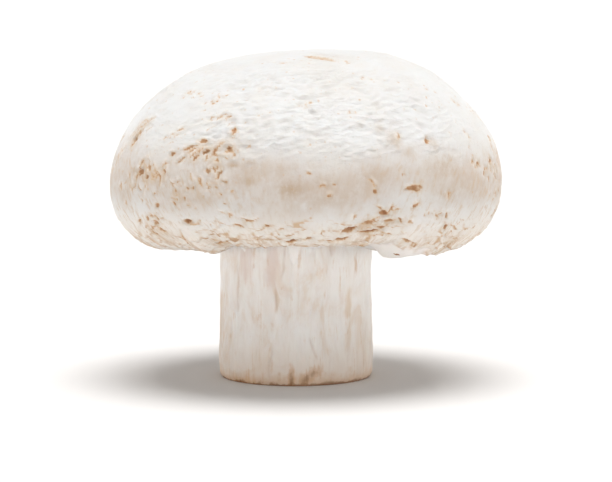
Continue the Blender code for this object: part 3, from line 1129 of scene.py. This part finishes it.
stemColours = {
    "cream": (0.698, 0.648, 0.606),
    "pale": (0.75, 0.728, 0.706),
    "tag": (0.8, 0.78, 0.76),
    "streak": (0.6, 0.46, 0.33),
    "foot": (0.64, 0.5, 0.38),
    "blush": (0.63, 0.52, 0.47),
    "furrow": (0.52, 0.4, 0.33),
    "blot": (0.26, 0.14, 0.07),
    "rim": (0.22, 0.09, 0.03),
    "rust": (0.55, 0.34, 0.19),
    "pith": (0.72, 0.66, 0.58),
}


# where the foot and its rust fade out, in millimetres of height
stemLevels = {"foot": (0.2, 7.0), "rust": (0.1, 0.3, 3.4), "rim": (0.06, 0.16, 0.6)}


def stemFinish():
    flesh = Recipe(bpy.data.materials.new("stemFlesh"), stemColours)
    height = flesh.axis(flesh.place, 2)
    broad = flesh.grain(2.4, flesh.stretch((1.0, 1.0, 0.42)), 4.0, 0.62, 0.8)
    narrow = flesh.grain(0.55, flesh.stretch((1.0, 1.0, 0.11)))
    speck = flesh.grain(0.5, detail=2.0)
    ragged = flesh.grain(1.3)
    spoke = flesh.mark("spoke")
    side = flesh.fade(spoke, 0.93, 0.99)

    # the side: patchy cream with tan stripes, streaks and furrows
    flesh.shade = stemColours["cream"]
    flesh.lay(flesh.fade(0.25 * narrow + 0.75 * broad, 0.38, 0.62), "pale")
    flesh.lay(0.26 * flesh.fade(narrow, 0.52, 0.7) * flesh.fade(broad, 0.4, 0.6), "streak")
    flesh.lay(0.35 * (1 - flesh.fade(broad, 0.32, 0.46)), "foot")
    flesh.lay(0.62 * flesh.fade(flesh.mark("streak") + 0.7 * (narrow - 0.5), 0.15, 0.95), "streak")
    flesh.lay(0.72 * flesh.fade(flesh.mark("blush") + 1.2 * (narrow - 0.5), 0.3, 1.05), "blush")
    streaky = flesh.fade(0.6 * narrow + 0.4 * ragged, 0.34, 0.62)
    flesh.lay(0.7 * flesh.mark("furrow") * (0.3 + 0.7 * streaky), "furrow")
    flesh.lay(0.75 * flesh.mark("collar"), "tag")

    # browner towards the foot
    flesh.lay(0.6 * (1 - flesh.above(height, stemLevels["foot"])) * (0.3 + 0.9 * broad), "foot")
    low, high, more = stemLevels["rust"]
    rust = 1 - flesh.fade(height, low * mm, (high + more * ragged * broad * 2) * mm)
    flesh.lay(0.6 * rust * side, "rust")
    blot = flesh.mark("blot") + 1.1 * (ragged - 0.5) + 1.5 * (narrow - 0.5)
    flesh.lay(0.6 * flesh.fade(blot, 0.1, 0.65), "rust")
    flesh.lay(0.7 * flesh.fade(blot, 0.6, 1.2), "blot")

    # the cut face, and the brown rim round it
    face = flesh.blend(flesh.fade(speck, 0.35, 0.7), stemColours["pith"], stemColours["pale"])
    outer = flesh.fade(spoke + 0.5 * (ragged - 0.5), 0.6, 0.98)
    face = flesh.blend(0.7 * outer, face, stemColours["foot"])
    face = flesh.blend(0.45 * flesh.fade(ragged, 0.54, 0.68), face, stemColours["streak"])
    flesh.shade = flesh.blend(1 - side, flesh.shade, face)
    low, high, more = stemLevels["rim"]
    rim = 1 - flesh.fade(height, low * mm, (high + more * flesh.fade(ragged, 0.38, 0.7)) * mm)
    flesh.lay(0.8 * rim * side, "rim")

    normal = flesh.bump(speck, 0.03, flesh.bump(narrow, 0.08))
    return flesh.finish(0.5 + 0.2 * narrow, normal, glow=0.18, depth=1.4)


addPiece("cutStem", shapeStem(), stemFinish(), "stem")


# veil: the skin that closes the underside, from the lip to the stem
veil = {
    "roundSteps": 540,
    "acrossSteps": 30,
    "thick": 0.8,
    "lipHeight": 18.0,
    "stemHeight": 17.2,
    "tuckOut": 1.0,  # how far it runs on into the lip
    "tuckIn": 1.2,
    "frontLift": (1.9, 1.2),  # beside the stem: how much, how far to each side
    "sag": 0.9,
    "loose": (0.85, -0.65, 0.3),  # it sags most here
    "taut": 0.15,
    "foldDepth": 0.16,
}


def shapeVeil():
    low, high = boxOf("veil")
    outer = (high[0] - low[0]) / 2 + veil["tuckOut"]
    inner = (boxOf("stem")[1][0] - boxOf("stem")[0][0]) / 2 - veil["tuckIn"]
    under = [(share, 0.0) for share in np.linspace(0, 1, veil["acrossSteps"])]
    outline = under + [(share, 1.0) for share, _ in under[::-3]]
    shape = [(1 + share, level) for share, level in outline]
    mesh = turned("sheetVeil", shape + [shape[0]], veil["roundSteps"])
    points = readTriples(mesh.vertices, "co")
    azimuth = np.arctan2(points[:, 1], points[:, 0])
    share = np.hypot(points[:, 0], points[:, 1]) - 1
    top = points[:, 2]
    radius = inner + (outer - inner) * share
    loose = veil["taut"] + humps(azimuth, [veil["loose"]])
    ring = circle(azimuth)
    folds = cloud(np.column_stack([ring * 9, share * 1.2]), 41)
    folds = folds + 0.6 * cloud(np.column_stack([ring * 26, share * 2]), 42)
    lifted, spread = veil["frontLift"]
    lift = share * marginLift(azimuth) + (1 - share) * lifted * hump(azimuth, cap["frontLift"][1], spread)
    level = veil["stemHeight"] + (veil["lipHeight"] - veil["stemHeight"]) * share + lift
    level = level - veil["sag"] * loose * np.sin(pi * share) + veil["foldDepth"] * folds * (1 - top)
    level += veil["thick"] * top
    centre = CapForm().centre * share
    x = radius * np.cos(azimuth) + centre
    writePoints(mesh, np.column_stack([x, radius * np.sin(azimuth), level]) * mm)
    creases = np.clip(-folds, 0, 1) * (1 - top)
    keepMarks(mesh, {"crease": creases, "share": share, "ringX": ring[:, 0], "ringY": ring[:, 1]})
    return mesh


veilColours = {
    "white": (0.76, 0.73, 0.7),
    "cream": (0.7, 0.64, 0.59),
    "crease": (0.52, 0.41, 0.33),
}


def veilFinish():
    film = Recipe(bpy.data.materials.new("veilMembrane"), veilColours)
    spokes = film.point(film.mark("ringX"), film.mark("ringY"), 0.08 * film.mark("share"))
    fibre = film.grain(0.5, film.stretch((12 * mm,) * 3, spokes))
    film.shade = veilColours["white"]
    film.lay(film.fade(film.grain(2.5, rough=0.55), 0.4, 0.7), "cream")
    film.lay(0.5 * film.mark("crease") * fibre, "crease")
    normal = film.bump(film.grain(0.3, detail=2.0), 0.04, film.bump(fibre, 0.12))
    return film.finish(0.5 + 0.2 * fibre, normal, glow=0.22, depth=1.4)


addPiece("sheetVeil", shapeVeil(), veilFinish(), "veil")
